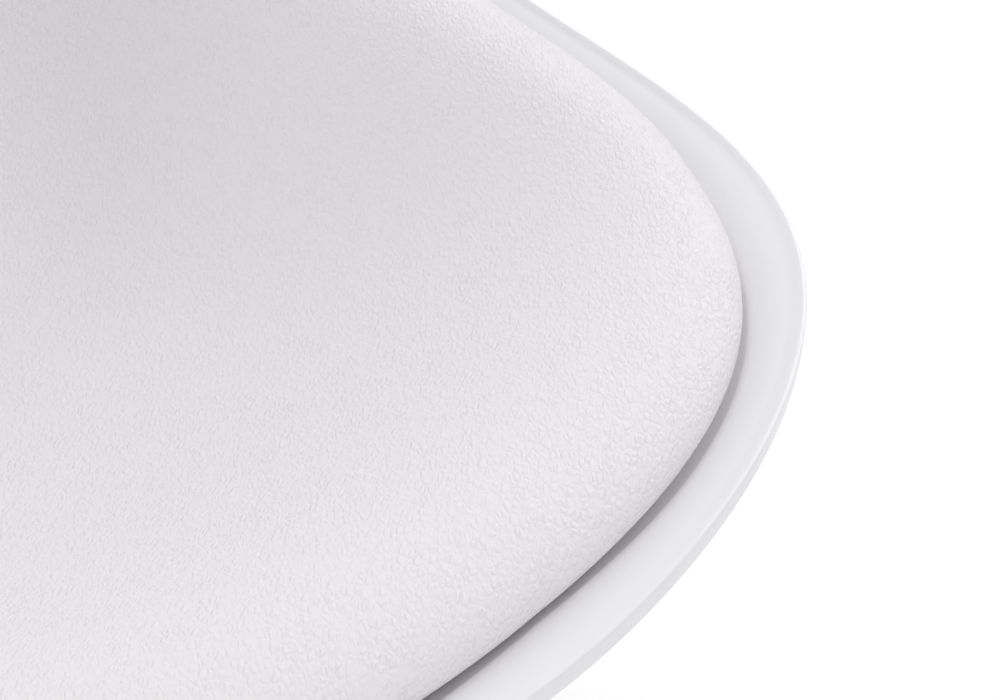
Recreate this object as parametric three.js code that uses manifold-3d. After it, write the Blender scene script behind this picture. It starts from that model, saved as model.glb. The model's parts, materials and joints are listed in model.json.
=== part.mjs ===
// Pedicure stool: a padded bucket seat with a low back on a gas lift and a five-leg base with twin-wheel castors.
// Millimetres, +Z up. The origin is on the floor under the column; the sitter faces -Y.
import * as THREE from 'three';
import { mergeVertices } from 'three/addons/utils/BufferGeometryUtils.js';
import Module from 'manifold-3d';

const wasm = await Module();
wasm.setup();

// ---- Driving dimensions -----------------------------------------------------------------------------
const touchGap = 0.3; // between pieces that touch on the real stool
const runGap = 0.5; // between pieces that move on each other

// Seat outline, seen from above: a squarish oval, wider than it is deep
const seatHalfWidth = 207;
const seatFrontReach = 187;
const seatBackReach = 200;
const outlinePowerX = 1.9;
const outlinePowerY = 3.0;

// Rim heights round the seat
const seatRimHeight = 372.5; // side rim above the floor, with the seat at its lowest
const backRise = 109; // top of the low back above the side rim
const backRiseStart = 147; // in front of the column, where the rim starts to climb
const backRisePower = 2.25;
const frontDip = 2.2; // the front edge falls away under the knees
const frontDipStart = 56;

// Moulded shell
const shellWall = 4;
const bowlDepth = 42;
const flangeWidth = 18.3;
const flangeDish = 2.5; // how far the flange falls from the lip to the bowl
const flangeCornerExtra = 0.5;
const backFlangeTilt = THREE.MathUtils.degToRad(55);
const sideBowlSlope = 0.7; // slope of the bowl where it meets the flange
const backBowlSlope = 2;
const lipDrop = 6.6;

// Pad
const padCoverThickness = 1.5;
const padCrestHeight = 14; // above the side rim
const padCrestInset = 24; // from the pad's edge
const padCentreThickness = 27.5;
const padBulge = 1.5;
const padBulgeHeight = 5;
const padTuck = 2; // how far the wall of the pad runs back in under its widest line
const glueLine = 1; // adhesive between the foam and the shell

// Mechanism under the seat
const plateMargin = 20; // from the bolts to the edge of the plate
const plateCorner = 16;
const plateThickness = 2.5;
const plateSkirt = 7;
const plateToShell = 8;
const boltSpacing = 110;
const boltRadius = 3;
const boltHeadRadius = 5.5;
const boltHeadHeight = 4;
const insertWall = 1.6;
const bossWall = 5.1;
const insertLength = 10;
const channelLength = 110;
const channelHeight = 23.5;
const channelSide = 28; // from the column to the outside of the channel
const channelWall = 2.5;
const socketWall = 5.7;
const socketLength = 40;
const leverRadius = 4;
const leverPivotReach = 30; // from the column to the lever's pin
const leverReach = 192;
const leverDrop = 13; // from the pin down to the handle
const leverOverrun = 3; // past the middle of the button
const leverPinRadius = 2.5;
const leverEyeWall = 4.2;
const leverEyeWidth = 10;
const handleLength = 58;
const handleWidth = 20;
const handleNeckWall = 2.7;
const handleWall = 1.7; // above and below the lever
const handleEnd = 11; // solid end past the lever

// Gas lift
const tubeRadius = 25;
const tubeWall = 1.6;
const tubeFloor = 3;
const tubeToSocket = 11.9; // free height above the tube at the lowest seat height
const tubeStandOff = 4; // tube above the underside of the hub
const cylinderRadius = 14;
const cylinderWall = 3;
const cylinderTaper = 0.7; // how much the top of the cylinder narrows
const rodRadius = 5;
const rodNeckRadius = 3;
const liftStroke = 100;
const bushLength = 60;
const bushLip = 3.2;
const bearingHeight = 3;
const bearingWidth = 11.5;
const bumperHeight = 8;
const clipThickness = 1.15;
const clipWidth = 5.2;
const pistonHeight = 10;
const cylinderFloor = 5;
const strokeSpare = 4; // between the piston and the cylinder's floor at full height
const buttonRadius = 4;
const buttonStandOut = 5;
const buttonLength = 23;
const chamberDepth = 20; // from the top of the socket down to the gas chamber

// Base
const hubWall = 5.7;
const hubHeight = 54;
const hubDrop = 4; // underside of the hub below the legs' tips
const hubBevel = [3, 4]; // inward and down
const legCount = 5;
const castorCircleRadius = 215;
const legHubWidth = 36;
const legHubHeight = 34;
const legTipWidth = 23;
const legTipHeight = 17;
const legFoot = 8; // leg's underside above the hub's, at the hub
const legRoundness = 0.6;
const legSink = 4; // how deep the leg's end is cut to the hub
const legSocketWall = 6.2;
const legSocketHeight = 25;
const legSocketRoof = 3; // over the stem's hole

// Castors
const wheelRadius = 25;
const wheelWidth = 14;
const castorHeadroom = 10; // from the top of the wheels to the leg
const castorTrail = 18;
const webThickness = 14;
const hoodWall = 2.2;
const hoodGap = 1.5; // between the hood and the wheels' treads
const hoodSector = [-20, 185].map(THREE.MathUtils.degToRad);
const axleBossWall = 5.7;
const axleShort = 4; // the axle stops this far inside each wheel
const housingTopGap = 3; // from the housing to the leg
const axleRadius = 3;
const stemRadius = 5.5;
const stemShankRadius = 4;
const stemShankBottom = 9; // above the axle
const stemCollarWidth = 2.5;
const stemBossWall = 5.7;
const wheelHubRadius = 7;
const wheelHubWall = 3.5;
const wheelDish = 3;
const wheelRimDepth = 8;
const treadBevel = 3.5;
const treadInnerBevel = 1.5;

// ---- Heights that follow ----------------------------------------------------------------------------
const bowlFloor = seatRimHeight - bowlDepth;
const plateTop = bowlFloor - shellWall - plateToShell;
const plateUnder = plateTop - plateThickness;
const channelTop = plateUnder - touchGap;
const channelBottom = channelTop - channelHeight;
const socketTop = channelBottom - touchGap;
const socketBottom = socketTop - socketLength;
const cylinderTop = channelBottom + channelWall + 1;
const buttonTop = cylinderTop + buttonStandOut;
const leverAxisHeight = buttonTop + touchGap + leverRadius;
const castorHeight = 2 * wheelRadius + castorHeadroom;
const hubClearance = castorHeight - hubDrop;
const tubeBottom = hubClearance + tubeStandOff;
const tubeTop = socketBottom - tubeToSocket;
const bearingBottom = tubeBottom + tubeFloor + touchGap;
const bearingTop = bearingBottom + bearingHeight;
const bumperBottom = bearingTop + touchGap;
const bumperTop = bumperBottom + bumperHeight;
const cylinderBottom = bumperTop + touchGap;
const pistonBottom = cylinderBottom + cylinderFloor + liftStroke + strokeSpare;

// ---- Widths that follow -----------------------------------------------------------------------------
const insertRadius = boltRadius + insertWall;
const bossRadius = insertRadius + touchGap + bossWall;
const plateWidth = boltSpacing + 2 * plateMargin;
const channelWidth = 2 * channelSide;
const socketRadius = cylinderRadius + touchGap + socketWall;
const leverEyeRadius = leverPinRadius + touchGap + leverEyeWall;
const hubRadius = tubeRadius + touchGap + hubWall;
const legSocketRadius = stemRadius + touchGap + legSocketWall;
const hoodInner = wheelRadius + hoodGap;
const stemBossRadius = stemShankRadius + touchGap + stemBossWall;

// ---- Solids -----------------------------------------------------------------------------------------
const vec = (x, y, z) => new THREE.Vector3(x, y, z);

function solid(geometry) {
  const bare = geometry.index ? geometry.toNonIndexed() : geometry.clone();
  bare.deleteAttribute('normal');
  bare.deleteAttribute('uv');
  const merged = mergeVertices(bare, 1e-4);
  const corners = merged.index.array;
  const kept = [];
  for (let i = 0; i < corners.length; i += 3) {
    const [a, b, c] = [corners[i], corners[i + 1], corners[i + 2]];
    if (a !== b && b !== c && c !== a) kept.push(a, b, c);
  }
  return new wasm.Manifold(new wasm.Mesh({
    numProp: 3,
    vertProperties: new Float32Array(merged.attributes.position.array),
    triVerts: new Uint32Array(kept),
  }));
}

function surface(body) {
  const mesh = body.getMesh();
  const geometry = new THREE.BufferGeometry();
  geometry.setAttribute('position', new THREE.BufferAttribute(new Float32Array(mesh.vertProperties), 3));
  geometry.setIndex(new THREE.BufferAttribute(new Uint32Array(mesh.triVerts), 1));
  geometry.computeVertexNormals();
  return geometry;
}

// A turned piece about Z from a profile of [radius, height] pairs, closed on itself or on the axis
function turned(profile, segments = 24) {
  const onAxis = profile[0][0] === 0;
  const points = profile.map(([r, z]) => new THREE.Vector2(r, z));
  if (!onAxis) points.push(points[0].clone());
  return new THREE.LatheGeometry(points, segments).rotateX(Math.PI / 2);
}

const rod = (radius, bottom, top, segments = 20) =>
  turned([[0, bottom], [radius, bottom], [radius, top], [0, top]], segments);

const ring = (inner, outer, bottom, top, segments = 16) =>
  turned([[inner, bottom], [outer, bottom], [outer, top], [inner, top]], segments);

// The tool for a hole whose flats keep the given radius
const bore = (radius, bottom, top, segments = 8) =>
  rod(radius / Math.cos(Math.PI / segments), bottom, top, segments);

function block(sizeX, sizeY, sizeZ, centre) {
  return new THREE.BoxGeometry(sizeX, sizeY, sizeZ).translate(centre.x, centre.y, centre.z);
}

const reachOf = (p) => Math.hypot(p.x, p.y);

const alongY = (geometry) => geometry.rotateX(-Math.PI / 2);

// A closed skin over rings of points, each ring going round anticlockwise seen from above, from a first pole or ring
// to a last one. With no poles the last ring joins the first. Each four-sided patch is split along the same line
// whether the rings run outward or inward, so that two skins on one surface have matching faces.
function skin(rings, firstPole, lastPole) {
  const count = rings[0].length;
  const positions = rings.flat().flatMap((p) => [p.x, p.y, p.z]);
  const faces = [];
  const last = firstPole ? rings.length - 1 : rings.length;
  for (let i = 0; i < last; i++) {
    const following = (i + 1) % rings.length;
    const here = i * count;
    const next = following * count;
    const inward = reachOf(rings[following][0]) < reachOf(rings[i][0]);
    for (let j = 0; j < count; j++) {
      const k = (j + 1) % count;
      if (inward) faces.push(here + j, next + j, here + k, next + j, next + k, here + k);
      else faces.push(here + j, next + j, next + k, here + j, next + k, here + k);
    }
  }
  if (firstPole) {
    const a = positions.length / 3;
    positions.push(firstPole.x, firstPole.y, firstPole.z, lastPole.x, lastPole.y, lastPole.z);
    const end = (rings.length - 1) * count;
    for (let j = 0; j < count; j++) {
      const k = (j + 1) % count;
      faces.push(a, j, k, a + 1, end + k, end + j);
    }
  }
  const geometry = new THREE.BufferGeometry();
  geometry.setAttribute('position', new THREE.Float32BufferAttribute(positions, 3));
  geometry.setIndex(faces);
  return geometry;
}

// ---- Seat surfaces ----------------------------------------------------------------------------------
const seatSegments = 40;
const turnAngles = Array.from({ length: seatSegments }, (_, i) => (i / seatSegments) * 2 * Math.PI);

const smoothStep = (u) => THREE.MathUtils.smoothstep(u, 0, 1);

// The lip's outer edge at a turn angle
function rimPoint(turn) {
  const s = Math.sin(turn);
  const x = Math.sign(Math.cos(turn)) * seatHalfWidth
    * Math.max(0, 1 - Math.abs(s) ** outlinePowerY) ** (1 / outlinePowerX);
  const y = s * (s < 0 ? seatFrontReach : seatBackReach);
  const climb = Math.max(0, (y + backRiseStart) / (seatBackReach + backRiseStart)) ** backRisePower;
  const dip = smoothStep((-y - frontDipStart) / (seatFrontReach - frontDipStart)) * (1 - (x / seatHalfWidth) ** 2);
  return vec(x, y, seatRimHeight + backRise * climb - frontDip * dip);
}

// The lip's outer edge with its outward direction, which tips up along the low back, and the direction square to it
function rimFrame(turn) {
  const step = 1e-3;
  const lip = rimPoint(turn);
  const along = rimPoint(turn + step).sub(rimPoint(turn - step));
  const out = vec(along.y, -along.x, 0).normalize();
  const tilt = backFlangeTilt * smoothStep(lip.y / seatBackReach);
  const across = out.clone().multiplyScalar(Math.cos(tilt)).setZ(Math.sin(tilt));
  const up = out.clone().multiplyScalar(-Math.sin(tilt)).setZ(Math.cos(tilt));
  const width = flangeWidth + flangeCornerExtra * Math.sin(2 * turn) ** 2;
  return { lip, across, up, tilt, width };
}

const inFrame = (frame, outward, upward) =>
  frame.lip.clone().addScaledVector(frame.across, outward).addScaledVector(frame.up, upward);

// A radial sweep from a centre height to an end point, flat round the centre and with a given slope at the end
function sweep(share, centreHeight, end, endSlope) {
  const reach = Math.hypot(end.x, end.y);
  const rise = (end.z - centreHeight) * share ** 3 * (4 - 3 * share);
  const lean = endSlope * reach * share ** 3 * (share - 1);
  return vec(end.x * share, end.y * share, centreHeight + rise + lean);
}

function bowlPoint(share, turn) {
  const frame = rimFrame(turn);
  const end = inFrame(frame, -frame.width, -flangeDish);
  const slope = THREE.MathUtils.lerp(sideBowlSlope, backBowlSlope, frame.tilt / backFlangeTilt);
  return sweep(share, bowlFloor, end, slope);
}

// A point off the bowl's inner face, square to it: upward into the bowl, or down through the wall
function offBowl(share, turn, distance) {
  const step = 1e-3;
  const near = Math.max(share, 0.02);
  const radial = bowlPoint(near + step, turn).sub(bowlPoint(near - step, turn));
  const round = bowlPoint(near, turn + step).sub(bowlPoint(near, turn - step));
  return bowlPoint(share, turn).addScaledVector(radial.cross(round).normalize(), distance);
}

const ringOf = (pointAt) => turnAngles.map(pointAt);

// ---- Seat shell -------------------------------------------------------------------------------------
const bowlShares = [0.18, 0.36, 0.54, 0.7, 0.85, 1];

function seatShell() {
  const lipSection = [
    [-7, -1.6], [-1.8, 0], [0, -2.2], [-0.9, 1 - lipDrop], [-2.8, -lipDrop], [-6, -5.6],
  ];
  const rings = [
    ...bowlShares.map((share) => ringOf((turn) => bowlPoint(share, turn))),
    ...lipSection.map(([outward, upward]) => ringOf((turn) => inFrame(rimFrame(turn), outward, upward))),
    ...[...bowlShares].reverse().map((share) => ringOf((turn) => offBowl(share, turn, -shellWall))),
  ];
  let shell = solid(skin(rings, vec(0, 0, bowlFloor), vec(0, 0, bowlFloor - shellWall)));
  for (const [x, y] of boltPlaces) {
    shell = shell.add(solid(rod(bossRadius, plateTop + touchGap, bowlFloor - 1, 12).translate(x, y, 0)));
  }
  for (const [x, y] of boltPlaces) {
    const top = plateTop + touchGap + insertLength + 1;
    shell = shell.subtract(solid(rod(insertRadius + touchGap, plateTop - 1, top, 10).translate(x, y, 0)));
  }
  return surface(shell);
}

const boltPlaces = [[-1, -1], [1, -1], [1, 1], [-1, 1]].map(([sx, sy]) =>
  [sx * boltSpacing / 2, sy * boltSpacing / 2]);

// ---- Pad --------------------------------------------------------------------------------------------
const padShares = [0.2, 0.4, 0.6, 0.8, 1];
const edgeSteps = 3;

// Rings from the pad's centre over its crest and round its edge to where it meets the shell
function padRings(inset) {
  const crestOut = (frame) => -frame.width - padCrestInset;
  const centre = bowlFloor + padCentreThickness - inset;
  const rings = padShares.map((share) => ringOf((turn) => {
    const frame = rimFrame(turn);
    return sweep(share, centre, inFrame(frame, crestOut(frame), padCrestHeight - inset), Math.tan(frame.tilt));
  }));
  const radiusOut = padCrestInset + padBulge - inset;
  const radiusUp = padCrestHeight - padBulgeHeight - inset;
  for (let i = 1; i <= edgeSteps; i++) {
    const angle = (i / edgeSteps) * Math.PI / 2;
    rings.push(ringOf((turn) => {
      const frame = rimFrame(turn);
      const outward = crestOut(frame) + radiusOut * Math.sin(angle);
      return inFrame(frame, outward, padBulgeHeight + radiusUp * Math.cos(angle));
    }));
  }
  const bottom = -flangeDish + runGap;
  for (const drop of [0.6, 1]) {
    rings.push(ringOf((turn) => {
      const frame = rimFrame(turn);
      const outward = -frame.width + padBulge - inset - padTuck * drop * drop;
      return inFrame(frame, outward, padBulgeHeight + (bottom - padBulgeHeight) * drop);
    }));
  }
  return { centre, rings };
}

function padCover() {
  const outside = padRings(0);
  const inside = padRings(padCoverThickness);
  return skin([...outside.rings, ...inside.rings.reverse()], vec(0, 0, outside.centre), vec(0, 0, inside.centre));
}

function padFoam() {
  const outside = padRings(padCoverThickness + touchGap);
  const last = bowlShares.length - 1;
  const tuck = ringOf((turn) => offBowl(bowlShares[last], turn, glueLine)
    .lerp(offBowl(bowlShares[last - 1], turn, glueLine), 0.3));
  const under = [...bowlShares].reverse().slice(1).map((share) => ringOf((turn) => offBowl(share, turn, glueLine)));
  return skin([...outside.rings, tuck, ...under], vec(0, 0, outside.centre), vec(0, 0, bowlFloor + glueLine));
}

// ---- Mechanism --------------------------------------------------------------------------------------
function roundedSquare(width, corner) {
  const half = width / 2;
  const shape = new THREE.Shape();
  shape.moveTo(half, -half + corner);
  shape.lineTo(half, half - corner);
  shape.absarc(half - corner, half - corner, corner, 0, Math.PI / 2);
  shape.absarc(-half + corner, half - corner, corner, Math.PI / 2, Math.PI);
  shape.absarc(-half + corner, -half + corner, corner, Math.PI, 1.5 * Math.PI);
  shape.absarc(half - corner, -half + corner, corner, 1.5 * Math.PI, 2 * Math.PI);
  return shape;
}

function extruded(shape, depth, bottom, curveSegments = 3) {
  return new THREE.ExtrudeGeometry(shape, { depth, bevelEnabled: false, curveSegments }).translate(0, 0, bottom);
}

function mechanismPlate() {
  const outline = roundedSquare(plateWidth, plateCorner);
  let plate = solid(extruded(outline, plateThickness + plateSkirt, plateUnder - plateSkirt));
  const hollow = roundedSquare(plateWidth - 2 * plateThickness, plateCorner - plateThickness);
  plate = plate.subtract(solid(extruded(hollow, plateSkirt + 1, plateUnder - plateSkirt - 1)));
  for (const [x, y] of boltPlaces) {
    plate = plate.subtract(solid(rod(boltRadius + touchGap, plateUnder - 1, plateTop + 1, 10).translate(x, y, 0)));
  }
  return surface(plate);
}

// A folded steel channel, open along X, with a hole for the cylinder and two for the lever's pin
function leverChannel() {
  const middle = (channelTop + channelBottom) / 2;
  let channel = solid(block(channelLength, channelWidth, channelHeight, vec(0, 0, middle)));
  const inner = block(channelLength + 2, channelWidth - 2 * channelWall, channelHeight,
    vec(0, 0, middle + channelWall));
  channel = channel.subtract(solid(inner));
  const floorTop = channelBottom + channelWall;
  channel = channel.subtract(solid(rod(cylinderRadius + runGap, channelBottom - 1, floorTop + 1)));
  channel = channel.subtract(solid(leverPin(touchGap, channelWidth + 2)));
  return surface(channel);
}

function leverPin(extraRadius = 0, length = channelWidth + 6) {
  return alongY(rod(leverPinRadius + extraRadius, -length / 2, length / 2, 16))
    .translate(-leverPivotReach, 0, leverAxisHeight);
}

function taperSocket() {
  const wall = cylinderRadius + touchGap;
  return turned([
    [wall, socketBottom], [socketRadius, socketBottom], [socketRadius, socketTop],
    [wall, socketTop],
  ]);
}

function leverCurve() {
  return new THREE.CatmullRomCurve3([
    vec(-leverPivotReach - 2, 0, leverAxisHeight),
    vec(-leverPivotReach - 26, 0, leverAxisHeight - 4),
    vec(-leverPivotReach - 60, 0, leverAxisHeight - leverDrop + 2),
    vec(-leverReach + handleLength - 8, 0, leverAxisHeight - leverDrop),
    vec(-leverReach + handleEnd + 1, 0, leverAxisHeight - leverDrop),
  ]);
}

function leverRod() {
  const section = new THREE.Shape();
  section.absarc(0, 0, leverRadius, 0, 2 * Math.PI);
  const arm = new THREE.ExtrudeGeometry(section, { extrudePath: leverCurve(), steps: 9, curveSegments: 5 });
  const inner = rod(leverRadius, -leverPivotReach, leverOverrun, 12).rotateY(Math.PI / 2)
    .translate(0, 0, leverAxisHeight);
  const half = leverEyeWidth / 2;
  const eye = alongY(rod(leverEyeRadius, -half, half, 14)).translate(-leverPivotReach, 0, leverAxisHeight);
  const hole = alongY(rod(leverPinRadius + touchGap, -half - 1, half + 1, 16))
    .translate(-leverPivotReach, 0, leverAxisHeight);
  return surface(solid(arm).add(solid(inner)).add(solid(eye)).subtract(solid(hole)));
}

// The grip: a flat paddle with a blind hole that takes the end of the lever
function leverHandle() {
  const wide = handleWidth / 2;
  const neck = leverRadius + touchGap + handleNeckWall;
  const thickness = 2 * (leverRadius + touchGap + handleWall);
  const roundStart = wide - handleLength;
  const shape = new THREE.Shape();
  shape.moveTo(0, -neck);
  shape.bezierCurveTo(0.38 * roundStart, -neck, 0.63 * roundStart, -wide, roundStart, -wide);
  shape.absarc(roundStart, 0, wide, 1.5 * Math.PI, Math.PI / 2, true);
  shape.bezierCurveTo(0.63 * roundStart, wide, 0.38 * roundStart, neck, 0, neck);
  shape.closePath();
  const height = leverAxisHeight - leverDrop;
  const start = -leverReach - roundStart;
  const paddle = extruded(shape, thickness, height - thickness / 2, 8).translate(start, 0, 0);
  const hole = rod(leverRadius + touchGap, -leverReach + handleEnd, start + 1, 16)
    .rotateY(Math.PI / 2).translate(0, 0, height);
  return surface(solid(paddle).subtract(solid(hole)));
}

const boltAt = ([x, y]) => surface(
  solid(rod(boltHeadRadius, plateUnder - touchGap - boltHeadHeight, plateUnder - touchGap, 6))
    .add(solid(rod(boltRadius, plateUnder - touchGap - 1, plateTop + insertLength - 1, 8)))
    .translate(x, y, 0));

const insertAt = ([x, y]) =>
  ring(boltRadius + touchGap, insertRadius, plateTop + 2 * touchGap, plateTop + insertLength, 8).translate(x, y, 0);

// ---- Gas lift ---------------------------------------------------------------------------------------
function liftTube() {
  const inner = tubeRadius - tubeWall;
  return turned([
    [rodRadius + runGap, tubeBottom], [tubeRadius - 1.5, tubeBottom], [tubeRadius, tubeBottom + 1.5],
    [tubeRadius, tubeTop], [inner, tubeTop], [inner, tubeBottom + tubeFloor],
    [rodRadius + runGap, tubeBottom + tubeFloor],
  ]);
}

function guideBush() {
  const inner = cylinderRadius + runGap;
  const outer = tubeRadius - tubeWall - touchGap;
  const lipTop = tubeTop + touchGap + bushLip;
  return turned([
    [inner, tubeTop - bushLength], [outer, tubeTop - bushLength], [outer, tubeTop + touchGap],
    [tubeRadius - 0.5, tubeTop + touchGap], [tubeRadius - 1.5, lipTop], [inner, lipTop],
  ]);
}

function liftCylinder() {
  const chamber = cylinderRadius - cylinderWall;
  const chamberTop = socketTop - chamberDepth;
  const chamberBottom = cylinderBottom + cylinderFloor;
  const buttonBore = buttonRadius + runGap;
  return turned([
    [rodRadius + runGap, cylinderBottom], [cylinderRadius, cylinderBottom], [cylinderRadius, socketBottom],
    [cylinderRadius - cylinderTaper, cylinderTop], [buttonBore, cylinderTop], [buttonBore, chamberTop],
    [chamber, chamberTop], [chamber, chamberBottom], [rodRadius + runGap, chamberBottom],
  ]);
}

function pistonRod() {
  const grooveBottom = clipBottom - touchGap / 2;
  const grooveTop = clipBottom + clipThickness + touchGap;
  const shoulder = pistonBottom - touchGap;
  const tip = pistonBottom + pistonHeight + 1;
  return turned([
    [0, grooveBottom - 2], [rodRadius, grooveBottom - 2], [rodRadius, grooveBottom],
    [rodNeckRadius, grooveBottom], [rodNeckRadius, grooveTop], [rodRadius, grooveTop], [rodRadius, shoulder], [rodNeckRadius, shoulder],
    [rodNeckRadius, tip], [0, tip],
  ], 12);
}

const clipBottom = hubClearance + touchGap / 2;
const neckBore = rodNeckRadius + touchGap;
const retainingClip = () => ring(neckBore, neckBore + clipWidth, clipBottom, clipBottom + clipThickness);
const pistonHead = () =>
  ring(neckBore, cylinderRadius - cylinderWall - runGap, pistonBottom, pistonBottom + pistonHeight);
const thrustBearing = () =>
  ring(rodRadius + runGap, rodRadius + runGap + bearingWidth, bearingBottom, bearingTop);
const bumper = () => turned([
  [rodRadius + runGap, bumperBottom], [cylinderRadius, bumperBottom],
  [cylinderRadius - 1.5, (bumperBottom + bumperTop) / 2], [cylinderRadius, bumperTop],
  [rodRadius + runGap, bumperTop],
], 16);
const releaseButton = () => rod(buttonRadius, buttonTop - buttonLength, buttonTop, 16);

// ---- Base -------------------------------------------------------------------------------------------
function baseHub() {
  const top = hubClearance + hubHeight;
  const wall = tubeRadius + touchGap;
  const [bevelIn, bevelDown] = hubBevel;
  return turned([
    [wall, hubClearance], [hubRadius, hubClearance], [hubRadius, top - bevelDown], [hubRadius - bevelIn, top],
    [wall, top],
  ], 24);
}

const rounded = (u) => Math.sign(u) * Math.abs(u) ** legRoundness;

// One leg along +X: a tapered arm with rounded corners and a castor socket at its tip
function legGeometry() {
  const stations = 4;
  const start = hubRadius - legSink;
  const end = castorCircleRadius;
  const rings = [];
  for (let i = 0; i <= stations; i++) {
    const share = i / stations;
    const width = THREE.MathUtils.lerp(legHubWidth, legTipWidth, share) / 2;
    const height = THREE.MathUtils.lerp(legHubHeight, legTipHeight, share) / 2;
    const hubMiddle = hubClearance + legFoot + legHubHeight / 2;
    const tipMiddle = castorHeight + legSocketHeight - legTipHeight / 2 - 1;
    const middle = THREE.MathUtils.lerp(hubMiddle, tipMiddle, share ** 1.4);
    rings.push(Array.from({ length: 12 }, (_, j) => {
      const angle = (-j / 12) * 2 * Math.PI;
      const across = width * rounded(Math.cos(angle));
      return vec(start + (end - start) * share, across, middle + height * rounded(Math.sin(angle)));
    }));
  }
  const centreOf = (points) => points.reduce((sum, p) => sum.add(p), vec(0, 0, 0)).divideScalar(points.length);
  const arm = skin(rings, centreOf(rings[0]), centreOf(rings[stations]));
  const socket = rod(legSocketRadius, castorHeight, castorHeight + legSocketHeight, 16).translate(end, 0, 0);
  const stemHole = bore(stemRadius + touchGap, castorHeight - 1, castorHeight + legSocketHeight - legSocketRoof)
    .translate(end, 0, 0);
  const hubSpace = rod(hubRadius + touchGap, 0, hubClearance + hubHeight + 20, 24);
  return surface(solid(arm).add(solid(socket)).subtract(solid(stemHole)).subtract(solid(hubSpace)));
}

// ---- Castor, with its swivel axis on Z and its wheels trailing towards +X ---------------------------
function castorHousing() {
  const hoodOuter = hoodInner + hoodWall;
  const width = webThickness + 2 * (wheelWidth + runGap);
  const sector = (outer, from, to) => {
    const shape = new THREE.Shape();
    shape.absarc(0, 0, outer, from, to);
    return shape;
  };
  const upright = (shape, thickness) =>
    new THREE.ExtrudeGeometry(shape, { depth: thickness, bevelEnabled: false, curveSegments: 8 })
      .translate(0, 0, -thickness / 2).rotateX(Math.PI / 2).translate(castorTrail, 0, wheelRadius);
  const [from, to] = hoodSector;
  const hoodShape = sector(hoodOuter, from, to);
  hoodShape.absarc(0, 0, hoodInner, to, from, true);
  const webShape = sector(hoodInner + 1, from, to);
  webShape.absarc(0, 0, axleRadius + touchGap + axleBossWall, to, from + 2 * Math.PI);
  let housing = solid(upright(hoodShape, width)).add(solid(upright(webShape, webThickness)));
  const bossBottom = wheelRadius + stemShankBottom + 1;
  housing = housing.add(solid(rod(stemBossRadius, bossBottom, castorHeight - housingTopGap, 8)))
    .subtract(solid(castorWheelSpace(1)))
    .subtract(solid(castorWheelSpace(-1)));
  const holeBottom = wheelRadius + stemShankBottom - 2;
  housing = housing.subtract(solid(bore(stemShankRadius + touchGap, holeBottom, castorHeight)));
  return surface(housing.subtract(solid(axleGeometry(touchGap, webThickness + 4))));
}

// The room for one wheel, cut out of the stem's boss
const castorWheelSpace = (side) => alongY(rod(hoodInner - touchGap, 0, wheelWidth + 4, 16))
  .translate(castorTrail, side > 0 ? webThickness / 2 : -webThickness / 2 - wheelWidth - 4, wheelRadius);

function axleGeometry(extraRadius = 0, length = webThickness + 2 * (wheelWidth - axleShort)) {
  return alongY(rod(axleRadius + extraRadius, -length / 2, length / 2, 8)).translate(castorTrail, 0, wheelRadius);
}

// A moulded wheel with a recessed outer face and a blind hub for the axle
function castorWheel(side) {
  const wall = axleRadius + touchGap;
  const near = webThickness / 2 + runGap;
  const far = near + wheelWidth - runGap;
  const profile = [
    [0, far - wheelHubWall], [wall, far - wheelHubWall], [wall, near], [wheelRadius - treadInnerBevel, near],
    [wheelRadius, near + treadInnerBevel], [wheelRadius, far - treadBevel], [wheelRadius - treadBevel, far],
    [wheelRadius - wheelRimDepth, far - wheelDish], [wheelHubRadius, far - wheelDish],
    [wheelHubRadius - 1, far - 1], [0, far - 1],
  ];
  return alongY(turned(profile, 16)).rotateZ(side > 0 ? 0 : Math.PI)
    .translate(castorTrail, 0, wheelRadius);
}

function castorStem() {
  const top = castorHeight + legSocketHeight - legSocketRoof - 1;
  const bottom = wheelRadius + stemShankBottom;
  const collar = stemRadius + stemCollarWidth;
  const collarTop = castorHeight - touchGap;
  const collarBottom = castorHeight - housingTopGap + runGap;
  return turned([
    [0, bottom], [stemShankRadius, bottom], [stemShankRadius, collarBottom], [collar, collarBottom],
    [collar, collarTop], [stemRadius, collarTop], [stemRadius, top - 2], [stemRadius - 1.5, top], [0, top],
  ], 8);
}

// ---- Materials --------------------------------------------------------------------------------------
const finish = (color, roughness, metalness = 0) => new THREE.MeshStandardMaterial({ color, roughness, metalness });
const whiteShell = finish(0xeeedf1, 0.35);
const whiteLeather = finish(0xe9e7e9, 0.5);
const foam = finish(0xe8dfae, 0.95);
const chrome = finish(0xd5d7da, 0.12, 1);
const zincSteel = finish(0xb4b7ba, 0.35, 1);
const blackSteel = finish(0x1c1c1e, 0.45);
const blackNylon = finish(0x1a1a1c, 0.5);
const brass = finish(0xc2a25a, 0.35, 1);
const blackRubber = finish(0x222222, 0.8);
const whiteAcetal = finish(0xf0f0ee, 0.4);

// ---- Assembly ---------------------------------------------------------------------------------------
const stool = new THREE.Group();

function piece(name, geometry, material, parent = stool) {
  const mesh = new THREE.Mesh(geometry, material);
  mesh.name = name;
  parent.add(mesh);
  return mesh;
}

piece('seat_shell', seatShell(), whiteShell);
piece('pad_cover', padCover(), whiteLeather);
piece('pad_foam', padFoam(), foam);
boltPlaces.forEach((place, i) => {
  piece(`seat_insert_${i + 1}`, insertAt(place), brass);
  piece(`seat_bolt_${i + 1}`, boltAt(place), zincSteel);
});
piece('mechanism_plate', mechanismPlate(), blackSteel);
piece('lever_channel', leverChannel(), blackSteel);
piece('taper_socket', taperSocket(), blackSteel);
piece('lever_pin', leverPin(), zincSteel);
piece('lever_rod', leverRod(), chrome);
piece('lever_handle', leverHandle(), blackNylon);

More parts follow.
